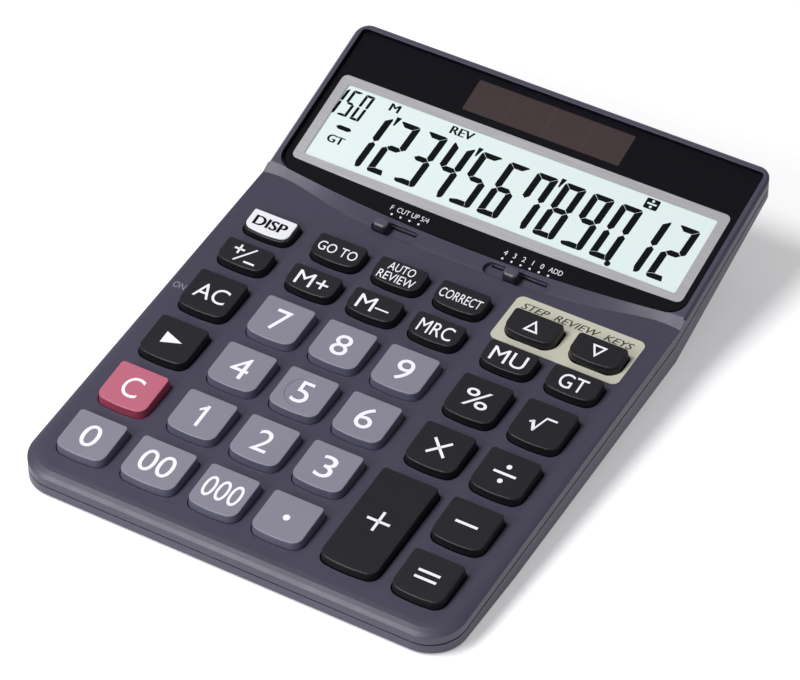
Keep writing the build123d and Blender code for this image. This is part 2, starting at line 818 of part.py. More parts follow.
# selectors: knob, stem through the slot, carrier plate and sliding contact
knob_width = 5.6
knob_length = 4.4
knob_height = 2.3
for side, rest in [("left", left_start), ("right", right_start + right_rest * selector_pitch)]:
    with BuildPart() as knob:
        for height, shrink in [(-1.2, 0.0), (knob_height, 1.0)]:
            with BuildSketch(strip.offset(height)):
                with Locations((rest, 0)):
                    RectangleRounded(knob_width - shrink, knob_length - shrink, 1.7 - shrink / 2)
        loft(ruled=True)
        fillet(knob.faces().sort_by(Axis.Z)[-1].edges(), 0.9)
        with BuildSketch(strip.offset(-1.1)):
            with Locations((rest, slit_shift)):
                Rectangle(2.4, slit_width - 0.4)
        extrude(amount=-2.1)
        with BuildSketch(strip.offset(-3.1)):
            with Locations((rest, 0)):
                Rectangle(8.0, 5.0)
        extrude(amount=-1.0)
    knob.part.label = side + "_selector_knob"
    export_step(knob.part, "parts/" + side + "_selector_knob.step")
    with BuildPart() as wiper:
        with BuildSketch(strip.offset(-4.12)):
            with Locations((rest, 0)):
                Rectangle(6.0, 3.0)
        extrude(amount=-0.2)
        with BuildSketch(strip.offset(-4.3)):
            with Locations((rest - 2.2, 0), (rest + 2.2, 0)):
                Rectangle(0.6, 2.0)
        extrude(amount=-0.75)
    wiper.part.label = side + "_wiper"
    export_step(wiper.part, "parts/" + side + "_wiper.step")
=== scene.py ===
import bpy
import bmesh
import math
from mathutils import Matrix, Vector
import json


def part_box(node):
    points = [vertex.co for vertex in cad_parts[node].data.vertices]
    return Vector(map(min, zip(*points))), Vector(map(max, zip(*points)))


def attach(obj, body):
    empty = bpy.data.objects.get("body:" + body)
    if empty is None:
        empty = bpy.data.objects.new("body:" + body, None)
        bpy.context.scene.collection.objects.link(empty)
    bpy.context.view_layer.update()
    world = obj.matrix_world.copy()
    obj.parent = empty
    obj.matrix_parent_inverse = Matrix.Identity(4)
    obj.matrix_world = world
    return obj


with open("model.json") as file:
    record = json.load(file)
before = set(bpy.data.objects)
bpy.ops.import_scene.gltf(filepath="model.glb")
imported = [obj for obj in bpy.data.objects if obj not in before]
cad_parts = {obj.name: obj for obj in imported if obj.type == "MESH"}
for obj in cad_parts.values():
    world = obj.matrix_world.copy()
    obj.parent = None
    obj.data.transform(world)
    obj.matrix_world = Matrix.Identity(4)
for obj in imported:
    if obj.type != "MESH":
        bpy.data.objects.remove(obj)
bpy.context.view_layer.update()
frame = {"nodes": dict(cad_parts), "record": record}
nodes = frame["nodes"]

mm = 0.001


# shader helpers: Sum wraps one output, Finish builds one material
class Sum:
    def __init__(self, tree, socket):
        self.tree = tree
        self.socket = socket

    def join(self, operation, first, second):
        node = self.tree.nodes.new("ShaderNodeMath")
        node.operation = operation
        for place, value in enumerate((first, second)):
            if isinstance(value, Sum):
                self.tree.links.new(value.socket, node.inputs[place])
            elif value is not None:
                node.inputs[place].default_value = value
        return Sum(self.tree, node.outputs[0])

    def __add__(self, other):
        return self.join("ADD", self, other)

    def __radd__(self, other):
        return self.join("ADD", other, self)

    def __sub__(self, other):
        return self.join("SUBTRACT", self, other)

    def __rsub__(self, other):
        return self.join("SUBTRACT", other, self)

    def __mul__(self, other):
        return self.join("MULTIPLY", self, other)

    def __rmul__(self, other):
        return self.join("MULTIPLY", other, self)

    def above(self, limit):
        return self.join("GREATER_THAN", self, limit)

    def kept(self, low, high):
        return self.join("MINIMUM", self.join("MAXIMUM", self, low), high)


class Finish:
    def __init__(self, name):
        self.material = bpy.data.materials.new(name)
        self.material.use_nodes = True
        self.tree = self.material.node_tree
        self.tree.nodes.clear()
        self.spot = self.node("TexCoord", out="Object")

    def node(self, kind, settings=None, sockets=None, out=0):
        made = self.tree.nodes.new("ShaderNode" + kind)
        for key, value in (settings or {}).items():
            setattr(made, key, value)
        for key, value in (sockets or {}).items():
            if isinstance(value, Sum):
                self.tree.links.new(value.socket, made.inputs[key])
            else:
                made.inputs[key].default_value = value
        return Sum(self.tree, made.outputs[out])

    def noise(self, scale, detail=3.0, rough=0.55, stretch=(1, 1, 1)):
        place = self.node("Mapping", {}, {"Vector": self.spot, "Scale": stretch})
        settings = {"noise_dimensions": "3D"}
        sockets = {"Vector": place, "Scale": scale, "Detail": detail, "Roughness": rough}
        return self.node("TexNoise", settings, sockets)

    def blend(self, share, one, two, kind="MIX"):
        # colour mix; the colour sockets of a Mix node are 6 and 7, its result is 2
        settings = {"data_type": "RGBA", "blend_type": kind}
        one = one if isinstance(one, Sum) else (*one, 1)
        two = two if isinstance(two, Sum) else (*two, 1)
        return self.node("Mix", settings, {0: share, 6: one, 7: two}, 2)

    def bump(self, height, depth, strength=1.0, under=None):
        sockets = {"Height": height, "Distance": depth, "Strength": strength}
        if under is not None:
            sockets["Normal"] = under
        return self.node("Bump", {}, sockets)

    def skin(self, **sockets):
        # the surface itself; underscores in names stand for spaces
        named = {key.replace("_", " "): value for key, value in sockets.items()}
        shader = self.node("BsdfPrincipled", {}, named)
        self.close(shader)
        return self.material

    def close(self, shader):
        end = self.tree.nodes.new("ShaderNodeOutputMaterial")
        self.tree.links.new(shader.socket, end.inputs["Surface"])


def tint(red, green, blue):
    # a colour given as it looks on screen, 0 to 255
    def straight(value):
        value = value / 255
        return value / 12.92 if value <= 0.04045 else ((value + 0.055) / 1.055) ** 2.4
    return (straight(red), straight(green), straight(blue))


def mouldedPlastic(name, look):
    # injection moulded plastic: spark-eroded grain, slow colour drift, edges polished by handling
    f = Finish(name)
    grain = f.noise(look["grain"], 2.0, 0.6)
    drift = f.noise(look.get("drift", 38.0), 3.0, 0.5)
    rubbed = f.noise(look.get("rubbed", 160.0), 4.0, 0.6)
    colour = f.blend(drift, look["colour"], look["shade"])
    if "side" in look:
        # painted shade: the steep sides are darkened towards the side colour, so the top stays paler than the
        # sides
        facing = f.node("SeparateXYZ", {}, {"Vector": f.node("NewGeometry", out="Normal")}, "Z")
        colour = f.blend(((0.8 - facing) * 3).kept(0.0, 1.0), colour, look["side"])
    speck = (grain - 0.5) * look.get("speck", 0.25) + 0.5
    colour = f.blend(0.35, colour, f.node("CombineColor", {}, {0: speck, 1: speck, 2: speck}), "OVERLAY")
    softEdge = f.node("Bevel", {"samples": 4}, {"Radius": look.get("edge", 0.25) * mm})
    corner = f.node("VectorMath", {"operation": "DOT_PRODUCT"},
                    {0: softEdge, 1: f.node("NewGeometry", out="Normal")}, "Value")
    wear = ((1 - corner) * look.get("wearGain", 2.5)).kept(0.0, 1.0) * look.get("wear", 0.3)
    colour = f.blend(wear, colour, look["worn"])
    rough = look["rough"] + (rubbed - 0.5) * look.get("roughDrift", 0.14) - wear * 0.15
    normal = f.bump(grain, look.get("depth", 0.02) * mm, look.get("bite", 0.35), softEdge)
    return f.skin(Base_Color=colour, Roughness=rough, Normal=normal, IOR=1.5,
                  Specular_IOR_Level=look.get("shine", 0.5),
                  Coat_Weight=look.get("coat", 0.0), Coat_Roughness=0.25)


caseLook = {
    "colour": tint(70, 67, 86), "shade": tint(63, 60, 78), "worn": tint(104, 101, 120),
    "grain": 5200.0, "speck": 0.5, "rough": 0.42, "edge": 0.3, "wear": 0.35, "depth": 0.03, "shine": 0.5,
}
# the "side" colours of the key looks are painted shade on their steep faces
blackKeyLook = {
    "colour": tint(32, 31, 37), "shade": tint(26, 26, 32), "worn": tint(76, 77, 88), "side": tint(13, 12, 18),
    "grain": 6500.0, "speck": 0.4, "rough": 0.38, "edge": 0.3, "wear": 0.4, "depth": 0.02, "shine": 0.35,
}
greyKeyLook = {
    "colour": tint(136, 134, 149), "shade": tint(127, 125, 140), "worn": tint(166, 164, 180),
    "side": tint(92, 91, 112),
    "grain": 6500.0, "speck": 0.45, "rough": 0.42, "edge": 0.3, "wear": 0.25, "depth": 0.02,
}
clearKeyLook = {
    "colour": tint(192, 104, 127), "shade": tint(182, 94, 117), "worn": tint(216, 146, 166),
    "side": tint(150, 58, 84),
    "grain": 6500.0, "speck": 0.35, "rough": 0.4, "edge": 0.3, "wear": 0.3, "depth": 0.02,
}
inlayLook = {
    "colour": tint(238, 238, 246), "shade": tint(229, 229, 239), "worn": tint(246, 246, 250),
    "grain": 7000.0, "speck": 0.15, "rough": 0.28, "edge": 0.2, "wear": 0.2, "depth": 0.01, "coat": 0.3,
}
# its "side" colour is painted shade on the knob's steep faces
knobLook = {
    "colour": tint(84, 82, 97), "shade": tint(75, 73, 88), "worn": tint(118, 116, 132),
    "side": tint(38, 36, 47),
    "grain": 6000.0, "speck": 0.35, "rough": 0.34, "edge": 0.3, "wear": 0.4, "depth": 0.02,
}
footLook = {
    "colour": tint(30, 30, 31), "shade": tint(22, 22, 23), "worn": tint(58, 58, 60),
    "grain": 3200.0, "speck": 0.6, "rough": 0.82, "edge": 0.3, "wear": 0.4, "depth": 0.05, "shine": 0.3,
}
matLook = {
    "colour": tint(196, 196, 190), "shade": tint(184, 184, 180), "worn": tint(215, 215, 210),
    "grain": 2400.0, "speck": 0.2, "rough": 0.6, "edge": 0.2, "wear": 0.2, "depth": 0.03, "shine": 0.35,
}
chipLook = {
    "colour": tint(24, 24, 25), "shade": tint(16, 16, 17), "worn": tint(50, 50, 52),
    "grain": 2800.0, "speck": 0.5, "rough": 0.5, "edge": 0.1, "wear": 0.2, "depth": 0.03,
}


def silverFoil(name, look):
    # satin aluminium foil with fine rolling lines along its length
    f = Finish(name)
    lines = f.noise(look["lines"], 2.0, 0.5, (0.03, 1, 1))
    cloud = f.noise(60.0, 3.0)
    colour = f.blend(lines, look["dark"], look["light"])
    rough = look["rough"] + (lines - 0.5) * 0.16 + (cloud - 0.5) * 0.08
    return f.skin(Base_Color=colour, Roughness=rough, Metallic=look["metal"],
                  Normal=f.bump(lines, 0.01 * mm, 0.25))


def platedSteel(name, look):
    # turned or pressed metal: blurred tool marks and a few dull patches
    f = Finish(name)
    marks = f.noise(look["marks"], 4.0, 0.6)
    dull = f.noise(300.0, 3.0, 0.6)
    colour = f.blend(dull, look["colour"], look["shade"])
    rough = look["rough"] + (marks - 0.5) * 0.2 + (dull - 0.5) * 0.15
    return f.skin(Base_Color=colour, Roughness=rough, Metallic=1.0, Normal=f.bump(marks, 0.01 * mm, 0.3))


def clearWindow(name, look):
    # clear acrylic: see-through, with a faint tint and light smears in its gloss
    f = Finish(name)
    smear = f.noise(look["smear"], 4.0, 0.6, (1, 0.5, 1))
    through = f.node("BsdfTransparent", {}, {"Color": (*look["tint"], 1)})
    gloss = f.node("BsdfPrincipled", {}, {
        "Base Color": (0.01, 0.01, 0.012, 1), "Roughness": look["rough"] + (smear - 0.5) * 0.05,
        "IOR": look["bend"],
    })
    share = f.node("Fresnel", {}, {"IOR": look["bend"]}) * look["share"]
    f.close(f.node("MixShader", {}, {0: share, 1: through, 2: gloss}))
    return f.material


def printInk(name, look):
    # screen printed ink: nearly flat, slightly uneven cover and gloss
    f = Finish(name)
    cover = f.noise(look["cover"], 3.0, 0.6)
    colour = f.blend(cover, look["colour"], look["shade"])
    rough = look["rough"] + (cover - 0.5) * 0.12
    # a glow, where given, makes the ink give off light of its own: painted light
    return f.skin(Base_Color=colour, Roughness=rough, Normal=f.bump(cover, 0.008 * mm, 0.3),
                  Specular_IOR_Level=look.get("shine", 0.5),
                  Emission_Color=colour, Emission_Strength=look.get("glow", 0.0))


def liquidCrystal(name, look):
    # reflective display: pale grey-green with a slow cloud in it and fine rubbing grain; its glow is painted
    # light, as the display gives off none of its own
    f = Finish(name)
    grain = f.noise(look["grain"], 2.0, 0.7)
    cloud = f.noise(22.0, 2.0)
    colour = f.blend(cloud, look["colour"], look["shade"])
    speck = (grain - 0.5) * 0.3 + 0.5
    colour = f.blend(0.3, colour, f.node("CombineColor", {}, {0: speck, 1: speck, 2: speck}), "OVERLAY")
    return f.skin(Base_Color=colour, Roughness=look["rough"] + (grain - 0.5) * 0.1,
                  Normal=f.bump(grain, 0.004 * mm, 0.3),
                  Emission_Color=colour, Emission_Strength=look["glow"])


def solarSilicon(name, look):
    # thin-film cell: brown-violet film cut by fine bright lines into a few strips
    f = Finish(name)
    across = f.node("SeparateXYZ", {}, {"Vector": f.spot}, "X")
    strip = f.node("Math", {"operation": "PINGPONG"}, {0: across, 1: look["strip"] * mm / 2})
    line = 1 - strip.above(look["line"] * mm)
    film = f.noise(70.0, 3.0, 0.6)
    colour = f.blend(film, look["colour"], look["shade"])
    colour = f.blend(line * 0.5, colour, look["lineColour"])
    return f.skin(Base_Color=colour, Roughness=look["rough"] + (film - 0.5) * 0.1,
                  Coat_Weight=0.2, Coat_Roughness=0.1, Normal=f.bump(line, 0.01 * mm, 0.3))


def circuitBoard(name, look):
    # solder mask over tracks, with pale copper showing through as raised lines
    f = Finish(name)
    cells = f.node("TexVoronoi", {"feature": "DISTANCE_TO_EDGE"}, {"Vector": f.spot, "Scale": look["tracks"]})
    track = 1 - cells.above(0.06)
    weave = f.noise(1800.0, 2.0)
    colour = f.blend(track * 0.6, look["mask"], look["copper"])
    colour = f.blend(weave * 0.2, colour, look["shade"])
    return f.skin(Base_Color=colour, Roughness=0.32 + (weave - 0.5) * 0.1,
                  Normal=f.bump(track, 0.03 * mm, 0.5))


def stripedCable(name, look):
    # flat cable or wire insulation with fine conductor lines
    f = Finish(name)
    across = f.node("SeparateXYZ", {}, {"Vector": f.spot}, "X")
    ripple = f.node("Math", {"operation": "PINGPONG"}, {0: across, 1: look["pitch"] * mm / 2})
    lane = (ripple * (2 / (look["pitch"] * mm))).kept(0.0, 1.0)
    dirt = f.noise(400.0, 3.0)
    colour = f.blend(lane, look["colour"], look["lane"])
    return f.skin(Base_Color=f.blend(dirt * 0.3, colour, look["shade"]), Roughness=0.5 + (dirt - 0.5) * 0.2,
                  Normal=f.bump(lane, 0.05 * mm, 0.5))


finishes = {
    "case": mouldedPlastic("sandedCasePlastic", caseLook),
    "function_key": mouldedPlastic("satinBlackKeycap", blackKeyLook),
    "number_key": mouldedPlastic("greyKeycap", greyKeyLook),
    "clear_key": mouldedPlastic("roseKeycap", clearKeyLook),
    "inlay": mouldedPlastic("whiteInlay", inlayLook),
    "knob": mouldedPlastic("selectorKnobPlastic", knobLook),
    "feet": mouldedPlastic("footRubber", footLook),
    "mat": mouldedPlastic("keyMatSilicone", matLook),
    "chip": mouldedPlastic("pottedChip", chipLook),
    "frame": silverFoil("silverFrameFoil", {
        "lines": 2600.0, "dark": tint(166, 165, 168), "light": tint(200, 199, 202),
        "rough": 0.5, "metal": 0.3}),
    "window": clearWindow("clearAcrylicWindow", {
        "smear": 30.0, "tint": (0.99, 0.99, 0.99), "rough": 0.08, "bend": 1.49, "share": 0.18}),
    # the display's glow is painted light
    "lcd": liquidCrystal("reflectiveDisplay", {
        "grain": 5200.0, "colour": tint(219, 231, 231), "shade": tint(213, 226, 227),
        "rough": 0.4, "glow": 0.22}),
    "cell": solarSilicon("solarFilm", {
        "strip": 13.25, "line": 0.1, "colour": tint(66, 49, 50), "shade": tint(58, 44, 46),
        "lineColour": tint(92, 74, 72), "rough": 0.35}),
    "board": circuitBoard("greenCircuitBoard", {
        "tracks": 260.0, "mask": tint(34, 92, 58), "copper": tint(70, 134, 84), "shade": tint(24, 70, 44)}),
    "cable": stripedCable("cableInsulation", {
        "pitch": 1.0, "colour": tint(205, 200, 182), "lane": tint(178, 168, 140),
        "shade": tint(150, 145, 130)}),
    "connector_rubber": stripedCable("stripedRubber", {
        "pitch": 0.5, "colour": tint(70, 76, 70), "lane": tint(40, 42, 40), "shade": tint(30, 32, 30)}),
    "battery": platedSteel("batteryCan", {
        "marks": 900.0, "colour": tint(205, 205, 208), "shade": tint(186, 186, 190), "rough": 0.22}),
    "contact": platedSteel("springBrass", {
        "marks": 1200.0, "colour": tint(205, 180, 120), "shade": tint(184, 158, 100), "rough": 0.3}),
    "screw": platedSteel("zincScrew", {
        "marks": 1500.0, "colour": tint(176, 178, 182), "shade": tint(150, 152, 158), "rough": 0.35}),
}
# the white legend ink glows a little: painted light
whiteInk = printInk("whiteLegendInk", {
    "cover": 2500.0, "colour": tint(238, 238, 246), "shade": tint(228, 228, 238), "rough": 0.45, "glow": 0.1})
blackInk = printInk("blackLegendInk", {
    "cover": 2500.0, "colour": tint(12, 12, 15), "shade": tint(18, 18, 21), "rough": 0.45, "shine": 0.2})
panelInk = printInk("windowBackPrint", {
    "cover": 500.0, "colour": tint(13, 11, 19), "shade": tint(17, 15, 24), "rough": 0.4, "shine": 0.1})
# the cream deck print glows a little: painted light
creamInk = printInk("creamDeckPrint", {
    "cover": 1600.0, "colour": tint(202, 201, 184), "shade": tint(193, 192, 175), "rough": 0.5, "glow": 0.05})
greyInk = printInk("greyDeckPrint", {
    "cover": 2500.0, "colour": tint(150, 150, 160), "shade": tint(140, 140, 150), "rough": 0.5})
segmentInk = printInk("displaySegments", {
    "cover": 1200.0, "colour": tint(5, 11, 12), "shade": tint(8, 16, 17), "rough": 0.4, "shine": 0.1})

for part in frame["record"]["subparts"]:
    node = nodes[part["node"]]
    node.data.materials.clear()
    node.data.materials.append(finishes[part["material_slot"]])
print("finishes given to all CAD pieces")


# planes that prints lie on: the deck, the display part and the tops of the keys
deckLean = math.radians(3.9)
displayLean = math.radians(16.7)
deckHeight = 14.2  # deck surface above the table, at the middle of the case
displayHeight = 24.2  # display part above the table, at displayMiddle
displayMiddle = 60
# flangeLean is what the leaning flange adds to the length of a key's box
keyShape = {"flange": 1.25, "flangeLean": 0.051, "stand": 2.9, "backRise": 3.3, "fall": 0.9}


def slopedPlane(origin, lean):
    # columns: right, up the slope, out of the surface
    right = Vector((1, 0, 0))
    uphill = Vector((0, math.cos(lean), math.sin(lean)))
    outward = Vector((0, -math.sin(lean), math.cos(lean)))
    plane = Matrix((right, uphill, outward)).transposed().to_4x4()
    plane.translation = origin
    return plane


def keyTop(name):
    # top face of a key: origin in the middle of the back edge, in line with its slope
    low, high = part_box(name)
    flange = keyShape["flange"] * mm
    rise = keyShape["backRise"] * mm
    backY = high.y - flange * math.cos(deckLean) - keyShape["stand"] * mm * math.sin(deckLean)
    length = (high.y - low.y - keyShape["flangeLean"] * mm) / math.cos(deckLean) - 2 * flange
    fall = math.atan(keyShape["fall"] * mm / length)
    backZ = deckHeight * mm + backY * math.tan(deckLean) + rise * math.cos(deckLean)
    origin = Vector(((low.x + high.x) / 2, backY - rise * math.sin(deckLean), backZ))
    return slopedPlane(origin, deckLean + fall), high.x - low.x - 2 * flange, length


deckPlane = slopedPlane(Vector((0, 0, deckHeight * mm)), deckLean)
displayPlane = slopedPlane(Vector((0, displayMiddle * mm, displayHeight * mm)), displayLean)


# flat shapes in millimetres, collected and then laid on a plane
class Stencil:
    def __init__(self):
        self.faces = []

    def polygon(self, points):
        self.faces.append([Vector((x, y, 0)) for x, y in points])

    def bar(self, x1, y1, x2, y2, thick, ends=0.0):
        # a stroke from one point to another; ends lengthens it both ways
        run = Vector((x2 - x1, y2 - y1))
        way = run.normalized()
        side = Vector((-way.y, way.x)) * thick / 2
        a = Vector((x1, y1)) - way * ends
        b = Vector((x2, y2)) + way * ends
        self.polygon([a - side, b - side, b + side, a + side])

    def disc(self, x, y, radius, steps=28):
        turn = [2 * math.pi * i / steps for i in range(steps)]
        self.polygon([(x + radius * math.cos(t), y + radius * math.sin(t)) for t in turn])

    def ring(self, outer, inner):
        # a band between two closed outlines with as many points each
        count = len(outer)
        for i in range(count):
            j = (i + 1) % count
            self.polygon([outer[i], outer[j], inner[j], inner[i]])

    def words(self, text, x, y, height, width=None, lean=0.0, bold=0.0):
        # lettering centred on a point, fitted to a height and, if given, a width;
        # bold widens its strokes sideways by laying it three times
        curve = bpy.data.curves.new("lettering", "FONT")
        curve.body = text
        curve.resolution_u = 6
        helper = bpy.data.objects.new("lettering", curve)
        bpy.context.scene.collection.objects.link(helper)
        bpy.context.view_layer.update()
        mesh = bpy.data.meshes.new_from_object(helper.evaluated_get(bpy.context.evaluated_depsgraph_get()))
        points = [v.co.copy() for v in mesh.vertices]
        lowX, highX = min(p.x for p in points), max(p.x for p in points)
        lowY, highY = min(p.y for p in points), max(p.y for p in points)
        tall = height / (highY - lowY)
        wide = (width - 2 * bold) / (highX - lowX) if width else tall
        for shift in (-bold, 0, bold) if bold else (0,):
            for face in mesh.polygons:
                corners = []
                for index in face.vertices:
                    p = points[index]
                    v = (p.y - (lowY + highY) / 2) * tall
                    u = (p.x - (lowX + highX) / 2) * wide + v * lean
                    corners.append((x + u + shift, y + v))
                self.polygon(corners)
        bpy.data.objects.remove(helper)
        bpy.data.meshes.remove(mesh)
        bpy.data.curves.remove(curve)

    def lay(self, name, plane, lift, ink, body, thick=0.02):
        # turns the shapes into one thin print riding on a body
        build = bmesh.new()
        for corners in self.faces:
            ground = [build.verts.new(plane @ ((c + Vector((0, 0, lift))) * mm)) for c in corners]
            build.faces.new(ground)
        bmesh.ops.remove_doubles(build, verts=build.verts, dist=0.0000005)
        return settlePrint(build, name, plane, ink, body, thick)


def settlePrint(build, name, plane, ink, body, thick):
    # faces turned outward, raised by the ink's thickness, made into a piece
    outward = (plane.to_3x3() @ Vector((0, 0, 1))).normalized()
    build.normal_update()
    bmesh.ops.reverse_faces(build, faces=[f for f in build.faces if f.normal.dot(outward) < 0])
    if thick:
        risen = bmesh.ops.extrude_face_region(build, geom=list(build.faces))
        moved = [g for g in risen["geom"] if isinstance(g, bmesh.types.BMVert)]
        bmesh.ops.translate(build, verts=moved, vec=outward * thick * mm)
        bmesh.ops.recalc_face_normals(build, faces=build.faces)
    mesh = bpy.data.meshes.new(name)
    build.to_mesh(mesh)
    build.free()
    mesh.materials.append(ink)
    piece = bpy.data.objects.new(name, mesh)
    bpy.context.scene.collection.objects.link(piece)
    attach(piece, body)
    return piece


def openSheet(name, plane, lift, outlines, ink, body, thick=0.0, rim=0.0):
    # a flat print inside the first outline with the others left open; rim turns its outer edge up
    build = bmesh.new()
    edges = []
    for number, outline in enumerate(outlines):
        made = [build.verts.new(plane @ (Vector((x, y, lift)) * mm)) for x, y in outline]
        edges += [build.edges.new((made[i - 1], made[i])) for i in range(len(made))]
        if rim and number == 0:
            top = [build.verts.new(plane @ (Vector((x, y, lift + rim)) * mm)) for x, y in outline]
            for i in range(len(made)):
                build.faces.new((made[i - 1], made[i], top[i], top[i - 1]))
    bmesh.ops.triangle_fill(build, edges=edges, use_beauty=True)
    return settlePrint(build, name, plane, ink, body, thick)


def roundedOutline(left, right, front, back, backRadius, frontRadius=None, steps=8):
    frontRadius = frontRadius or backRadius
    points = []
    for cornerX, cornerY, start, radius in [
        (right - frontRadius, front + frontRadius, -90, frontRadius),
        (right - backRadius, back - backRadius, 0, backRadius),
        (left + backRadius, back - backRadius, 90, backRadius),
        (left + frontRadius, front + frontRadius, 180, frontRadius),
    ]:
        for i in range(steps + 1):
            turn = math.radians(start + 90 * i / steps)
            points.append((cornerX + radius * math.cos(turn), cornerY + radius * math.sin(turn)))
    return points


# legends on the keys: text, width and height in millimetres, centred on each key's top
keyLegends = {
    "key_7": ("7", 5.0, 8.0), "key_8": ("8", 5.4, 7.7), "key_9": ("9", 5.3, 7.8),
    "key_4": ("4", 5.8, 8.0), "key_5": ("5", 4.9, 8.0), "key_6": ("6", 5.4, 7.8),
    "key_2": ("2", 5.1, 7.8), "key_3": ("3", 5.1, 7.9),
    "key_0": ("0", 5.5, 7.9), "key_00": ("00", 10.7, 7.8), "key_000": ("000", 12.0, 7.4),
    "key_clear": ("C", 5.7, 7.5), "key_all_clear": ("AC", 10.4, 5.7),
    "key_memory_plus": ("M+", 10.4, 5.1), "key_memory_minus": ("M–", 10.4, 5.1),
    "key_memory_recall": ("MRC", 11.1, 4.9), "key_mark_up": ("MU", 11.0, 5.1),
    "key_grand_total": ("GT", 8.4, 5.1), "key_percent": ("%", 8.2, 6.6),
    "key_go_to": ("GO TO", 12.8, 3.4), "key_correct": ("CORRECT", 13.6, 3.3),
    "key_display": ("DISP", 11.0, 3.6),
}

for name, (text, wide, tall) in keyLegends.items():
    plane, width, length = keyTop(name)
    stencil = Stencil()
    onInlay = name == "key_display"
    stencil.words(text, 0, -length / mm / 2, tall, wide, bold=0.2 if onInlay else 0.0)
    stencil.lay(name + "_legend", plane, 0.02 if onInlay else 0.012, blackInk if onInlay else whiteInk, name)

# symbols drawn from strokes
stroke = 0.85


def oneMark(s, y):
    s.bar(0.45, y - 4.0, 0.45, y + 4.0, 1.05)
    s.polygon([(-1.6, y + 2.1), (0.4, y + 4.0), (0.4, y + 2.8), (-1.4, y + 1.35)])


def reviewWords(s, y):
    s.words("AUTO", 0, y + 2.0, 3.0, 8.7)
    s.words("REVIEW", 0, y - 1.8, 3.0, 12.0)


def signMark(s, y):
    s.bar(-4.2, y + 1.3, -0.8, y + 1.3, 0.65)
    s.bar(-2.5, y - 0.4, -2.5, y + 3.0, 0.65)
    s.bar(-2.4, y - 3.0, 2.6, y + 3.0, 0.55)
    s.bar(0.9, y - 2.4, 4.5, y - 2.4, 0.65)


def timesMark(s, y):
    s.bar(-2.8, y - 2.8, 2.8, y + 2.8, stroke)
    s.bar(-2.8, y + 2.8, 2.8, y - 2.8, stroke)


def divideMark(s, y):
    s.bar(-3.5, y, 3.5, y, stroke)
    s.disc(0, y + 2.7, 0.8)
    s.disc(0, y - 2.7, 0.8)


def plusMark(s, y):
    s.bar(-3.6, y, 3.6, y, stroke)
    s.bar(0, y - 3.7, 0, y + 3.7, stroke)


def minusMark(s, y):
    s.bar(-3.5, y, 3.5, y, stroke)


def equalsMark(s, y):
    s.bar(-3.4, y + 1.2, 3.4, y + 1.2, stroke)
    s.bar(-3.4, y - 1.2, 3.4, y - 1.2, stroke)


def rootMark(s, y):
    s.bar(-3.6, y - 0.3, -2.8, y + 0.3, 0.6, 0.2)
    s.bar(-2.8, y + 0.3, -1.5, y - 2.6, 0.95, 0.2)
    s.bar(-1.5, y - 2.8, 0.3, y + 2.6, 0.55, 0.3)
    s.bar(0.2, y + 2.6, 3.6, y + 2.6, 0.65)


def pointMark(s, y):
    s.disc(0, y, 1.05)


def shiftMark(s, y):
    s.polygon([(-3.0, y - 2.2), (3.2, y), (-3.0, y + 2.2)])


def outlineTriangle(s, y, way):
    outer = [(-2.4, y - 2.1 * way), (2.4, y - 2.1 * way), (0, y + 2.3 * way)]
    inner = [(-1.4, y - 1.5 * way), (1.4, y - 1.5 * way), (0, y + 1.1 * way)]
    s.ring(outer, inner)


for name, draw in {
    "key_1": oneMark,
    "key_review": reviewWords, "key_sign": signMark, "key_times": timesMark, "key_divide": divideMark,
    "key_plus": plusMark, "key_minus": minusMark, "key_equals": equalsMark, "key_root": rootMark,
    "key_point": pointMark, "key_shift": shiftMark,
    "key_step_up": lambda s, y: outlineTriangle(s, y, 1),
    "key_step_down": lambda s, y: outlineTriangle(s, y, -1),
}.items():
    plane, width, length = keyTop(name)
    stencil = Stencil()
    draw(stencil, -length / mm / 2)
    stencil.lay(name + "_legend", plane, 0.012, whiteInk, name)
print("key legends printed")

# pale surround of the two step keys, its wording, and the small mark beside the clear-all key
stepFrame = {
    "left": 22.6, "right": 64.2, "front": 10.2, "back": 29.0, "corner": 2.2,
    "opening": 0.75, "bow": 0.9, "wordsTall": 2.5,
}
greyDark = printInk("darkDeckPrint", {
    "cover": 2500.0, "colour": tint(104, 104, 92), "shade": tint(92, 92, 82), "rough": 0.5})


def keyOpening(name, grow, bow):
    # outline of a key's hole on the deck: straight back, bowed front
    low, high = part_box(name)
    plane, width, length = keyTop(name)
    middle = (low.x + high.x) / 2 / mm
    side = width / 2 / mm + grow
    flat = high.y / mm - keyShape["flange"] * math.cos(deckLean) - keyShape["stand"] * math.sin(deckLean)
    back = flat / math.cos(deckLean) + grow
    front = back - length / mm - 2 * grow
    outline = roundedOutline(-side, side, front, back, 1.1 + grow, 3.0 + grow)
    halfway = (front + back) / 2
    return [(middle + x, y + bow * (x / side) ** 2 if y < halfway else y) for x, y in outline]


def deckPrints(look):
    scale = 1 / math.cos(deckLean)
    outline = roundedOutline(look["left"], look["right"], look["front"] * scale, look["back"] * scale,
                             look["corner"])
    openings = [keyOpening(name, look["opening"], look["bow"]) for name in ("key_step_up", "key_step_down")]
    openSheet("step_key_surround", deckPlane, 0.01, [outline] + openings, creamInk, "case", 0.02)
    topEdge = max(y for x, y in openings[0])
    s = Stencil()
    s.words("STEP  REVIEW  KEYS", (look["left"] + look["right"]) / 2, (topEdge + look["back"] * scale) / 2,
            look["wordsTall"], look["right"] - look["left"] - 6, lean=0.3, bold=0.06)
    s.lay("step_key_words", deckPlane, 0.032, greyDark, "case")
    s = Stencil()
    s.words("ON", -66.2, -14.3 * scale, 2.3, 3.9)
    s.lay("on_mark", deckPlane, 0.01, greyInk, "case")


deckPrints(stepFrame)


# display: black back print, segments, selector scales
def alongDisplay(y):
    return (y - 60) / math.cos(displayLean)


